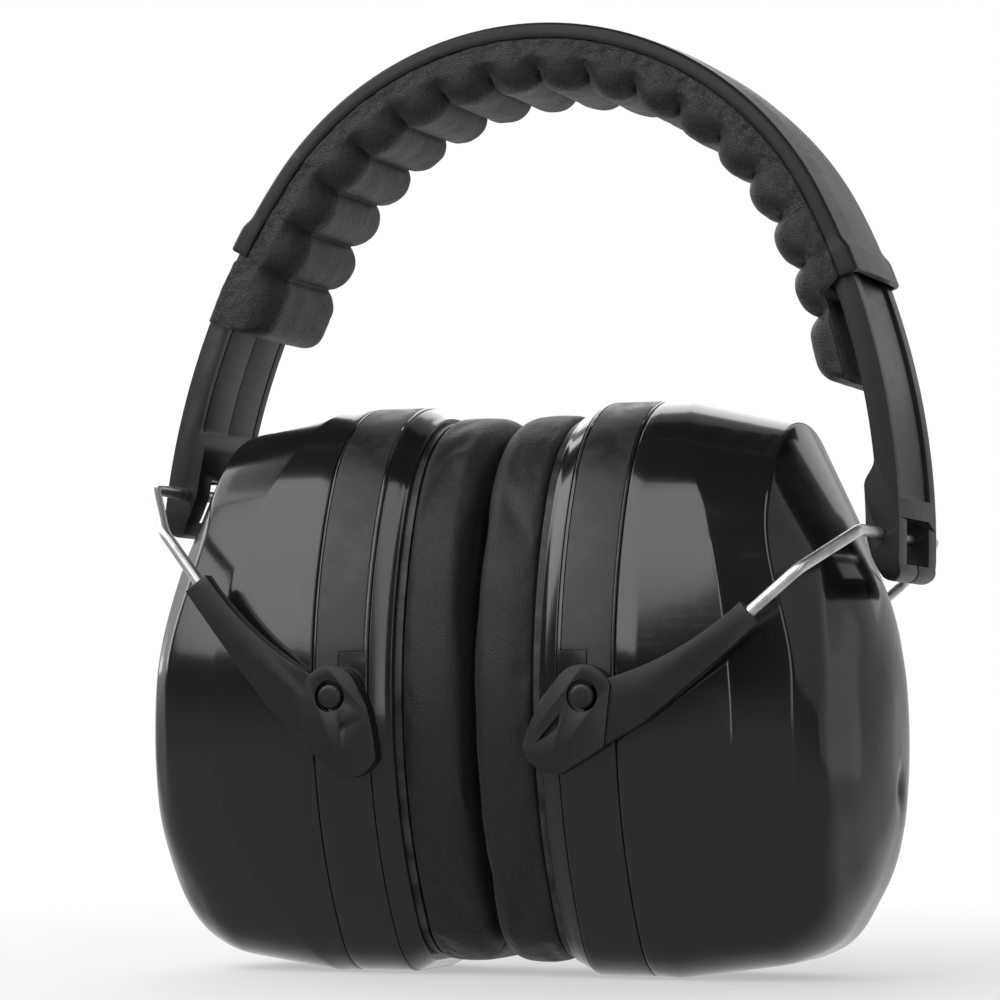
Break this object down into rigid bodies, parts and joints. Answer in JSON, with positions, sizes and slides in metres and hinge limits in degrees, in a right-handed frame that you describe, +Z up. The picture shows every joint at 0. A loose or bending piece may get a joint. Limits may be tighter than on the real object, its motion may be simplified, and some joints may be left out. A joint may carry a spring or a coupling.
{
  "type": "earmuff hearing protector",
  "caption": "Over-the-head hearing protector: padded sprung band, sliding arms, wire yokes with side levers and deep faceted ear cups with soft cushions that meet face to face.",
  "frame": {"origin": "centre of the bounding box in plan, on the level surface the two cups stand on", "axes": "+Z up towards the top of the headband, +X to the right seen from the front, -Y towards the front"},
  "size_m": [0.1594, 0.0852, 0.1908],
  "materials": {
    "gloss_shell": "glossy black moulded plastic",
    "satin_shell": "satin black moulded plastic with a fine grain",
    "lever_plastic": "semi-gloss black moulded plastic",
    "spring_wire": "bright drawn steel wire",
    "leatherette": "black fine-grained leatherette",
    "foam": "dark grey open-cell foam"
  },
  "bodies": {
    "headband": {"headband_cover": "satin_shell", "headband_channel": "satin_shell", "headband_pad_foam": "foam", "headband_pad_cover": "leatherette"},
    "left_arm": {"left_arm": "satin_shell"},
    "left_yoke": {"left_wire_yoke": "spring_wire", "left_front_lever": "lever_plastic", "left_rear_lever": "lever_plastic"},
    "left_cup": {"left_outer_shell": "gloss_shell", "left_cup_ring": "gloss_shell", "left_saddle_strip": "satin_shell", "left_seal_ring": "gloss_shell", "left_foam_liner": "foam", "left_cushion_plate": "satin_shell", "left_cushion_foam": "foam", "left_cushion_cover": "leatherette", "left_front_pivot_pin": "lever_plastic", "left_rear_pivot_pin": "lever_plastic"},
    "right_arm": {"right_arm": "satin_shell"},
    "right_yoke": {"right_wire_yoke": "spring_wire", "right_front_lever": "lever_plastic", "right_rear_lever": "lever_plastic"},
    "right_cup": {"right_outer_shell": "gloss_shell", "right_cup_ring": "gloss_shell", "right_saddle_strip": "satin_shell", "right_seal_ring": "gloss_shell", "right_foam_liner": "foam", "right_cushion_plate": "satin_shell", "right_cushion_foam": "foam", "right_cushion_cover": "leatherette", "right_front_pivot_pin": "lever_plastic", "right_rear_pivot_pin": "lever_plastic"}
  },
  "joints": [
    {"name": "left_arm_slide", "type": "hinge", "parent": "headband", "child": "left_arm", "pos_m": [0.01595, 0, 0.10665], "axis": [0, 1, 0], "range_deg": [0, 10.1]},
    {"name": "left_yoke_swing", "type": "hinge", "parent": "left_arm", "child": "left_yoke", "pos_m": [-0.07116, 0, 0.09712], "axis": [0, 1, 0], "range_deg": [0, 6.5]},
    {"name": "left_cup_tilt", "type": "hinge", "parent": "left_yoke", "child": "left_cup", "pos_m": [-0.02774, 0, 0.0552], "axis": [0, 1, 0], "range_deg": [-2.92, 0]},
    {"name": "right_arm_slide", "type": "hinge", "parent": "headband", "child": "right_arm", "pos_m": [-0.0091, 0, 0.10844], "axis": [0, -1, 0], "range_deg": [0, 10.1]},
    {"name": "right_yoke_swing", "type": "hinge", "parent": "right_arm", "child": "right_yoke", "pos_m": [0.07577, 0, 0.08664], "axis": [0, -1, 0], "range_deg": [0, 10]},
    {"name": "right_cup_tilt", "type": "hinge", "parent": "right_yoke", "child": "right_cup", "pos_m": [0.02425, 0, 0.0552], "axis": [0, -1, 0], "range_deg": [-4.5, 0]}
  ],
  "couplings": [
    {"joint": "left_cup_tilt", "follows": "left_yoke_swing", "ratio": -0.45},
    {"joint": "right_cup_tilt", "follows": "right_yoke_swing", "ratio": -0.45}
  ]
}
